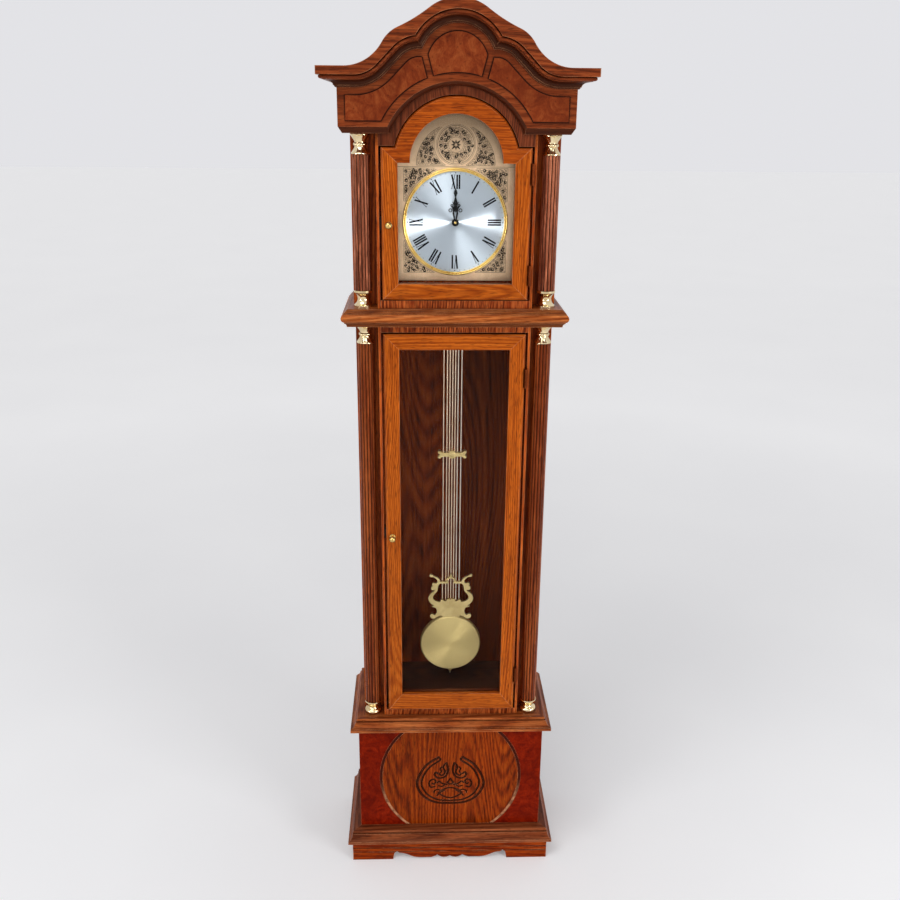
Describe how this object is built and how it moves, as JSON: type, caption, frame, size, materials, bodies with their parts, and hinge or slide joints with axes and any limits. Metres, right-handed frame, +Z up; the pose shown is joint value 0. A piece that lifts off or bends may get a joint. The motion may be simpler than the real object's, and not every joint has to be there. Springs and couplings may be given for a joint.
{
  "type": "longcase clock",
  "caption": "Floor-standing longcase clock in stained oak with an arched crown, reeded corner columns, glazed hood and trunk doors, brass lyre pendulum and a quartz movement",
  "frame": {"origin": "on the floor, at the middle of the clock's overall width and depth", "axes": "+X to the viewer's right as the clock is faced, +Y from the front to the back, +Z up"},
  "size_m": [0.508, 0.254, 1.881],
  "materials": {
    "oak_case": "satin reddish-brown stained oak",
    "oak_crown": "satin mid-brown stained oak",
    "oak_door": "satin orange-brown stained oak",
    "oak_panel": "satin orange-brown oak veneer, upright grain",
    "burl_veneer": "satin red-brown burl veneer",
    "oak_column": "satin reddish-brown reeded oak",
    "plywood": "dark stained board",
    "pale_gold": "pale gold lacquered castings",
    "polished_brass": "lacquered brass",
    "antique_bronze": "antique bronze, etched scrolls",
    "silvered_dial": "silvered, radially brushed",
    "medallion_enamel": "printed enamel",
    "black_hands": "gloss black",
    "glass": "clear float glass",
    "black_plastic": "black moulded plastic",
    "battery_wrap": "printed sleeve",
    "zinc_steel": "zinc plated"
  },
  "bodies": {
    "case": {"apron_front": "oak_case", "apron_sides": "oak_case", "plinth_moulding": "oak_case", "base_front_board": "burl_veneer", "base_round_panel": "oak_panel", "base_sides": "oak_case", "base_floor": "plywood", "shelf_moulding": "oak_case", "trunk_posts": "oak_case", "trunk_sides": "oak_case", "trunk_floor": "plywood", "front_rails": "oak_case", "back_panel": "plywood", "waist_moulding": "oak_case", "hood_posts": "oak_case", "hood_sides": "oak_case", "hood_arch_board": "oak_case", "frieze_board": "oak_case", "frieze_sides": "oak_case", "frieze_burl_panels": "burl_veneer", "crown_moulding": "oak_crown", "crown_returns": "oak_crown", "roof_board": "plywood", "trunk_columns": "oak_column", "hood_columns": "oak_column", "column_capitals": "pale_gold", "column_bases": "pale_gold", "door_catches": "black_plastic", "case_hinge_leaves": "polished_brass", "dial_board": "plywood", "dial_plate": "antique_bronze", "dial_ring": "polished_brass", "dial_disc": "silvered_dial", "dial_medallion": "medallion_enamel", "movement_case": "black_plastic", "movement_battery": "battery_wrap", "shaft_nut": "polished_brass"},
    "hood_door": {"hood_door_stiles": "oak_door", "hood_door_bottom_rail": "oak_door", "hood_door_arch_rail": "oak_door", "hood_door_glass": "glass", "hood_door_beads": "oak_door", "hood_door_knob": "polished_brass", "hood_strike_plate": "zinc_steel", "hood_door_hinge_leaves": "polished_brass"},
    "trunk_door": {"trunk_door_stiles": "oak_door", "trunk_door_rails": "oak_door", "trunk_door_glass": "glass", "trunk_door_beads": "oak_door", "trunk_door_knob": "polished_brass", "trunk_strike_plate": "zinc_steel", "trunk_door_hinge_leaves": "polished_brass"},
    "pendulum": {"pendulum_hanger": "polished_brass", "pendulum_rods": "polished_brass", "pendulum_mid_bar": "polished_brass", "pendulum_lyre": "polished_brass", "pendulum_bob": "polished_brass", "rating_nut": "polished_brass"},
    "minute_hand": {"minute_hand": "black_hands"},
    "hour_hand": {"hour_hand": "black_hands"}
  },
  "joints": [
    {"name": "hood_door_hinge", "type": "hinge", "parent": "case", "child": "hood_door", "pos_m": [0.1445, -0.083, 1.49], "axis": [0, 0, 1], "range_deg": [0, 120]},
    {"name": "trunk_door_hinge", "type": "hinge", "parent": "case", "child": "trunk_door", "pos_m": [0.1445, -0.081, 0.84], "axis": [0, 0, 1], "range_deg": [0, 120]},
    {"name": "pendulum_swing", "type": "hinge", "parent": "case", "child": "pendulum", "pos_m": [0, 0.008, 1.45], "axis": [0, 1, 0], "range_deg": [-3.5, 3.5]},
    {"name": "minute_hand_turn", "type": "hinge", "parent": "case", "child": "minute_hand", "pos_m": [0, -0.0445, 1.4895], "axis": [0, 1, 0], "continuous": true},
    {"name": "hour_hand_turn", "type": "hinge", "parent": "case", "child": "hour_hand", "pos_m": [0, -0.0415, 1.4895], "axis": [0, 1, 0], "continuous": true}
  ],
  "couplings": [
    {"joint": "hour_hand_turn", "follows": "minute_hand_turn", "ratio": 0.083333}
  ]
}
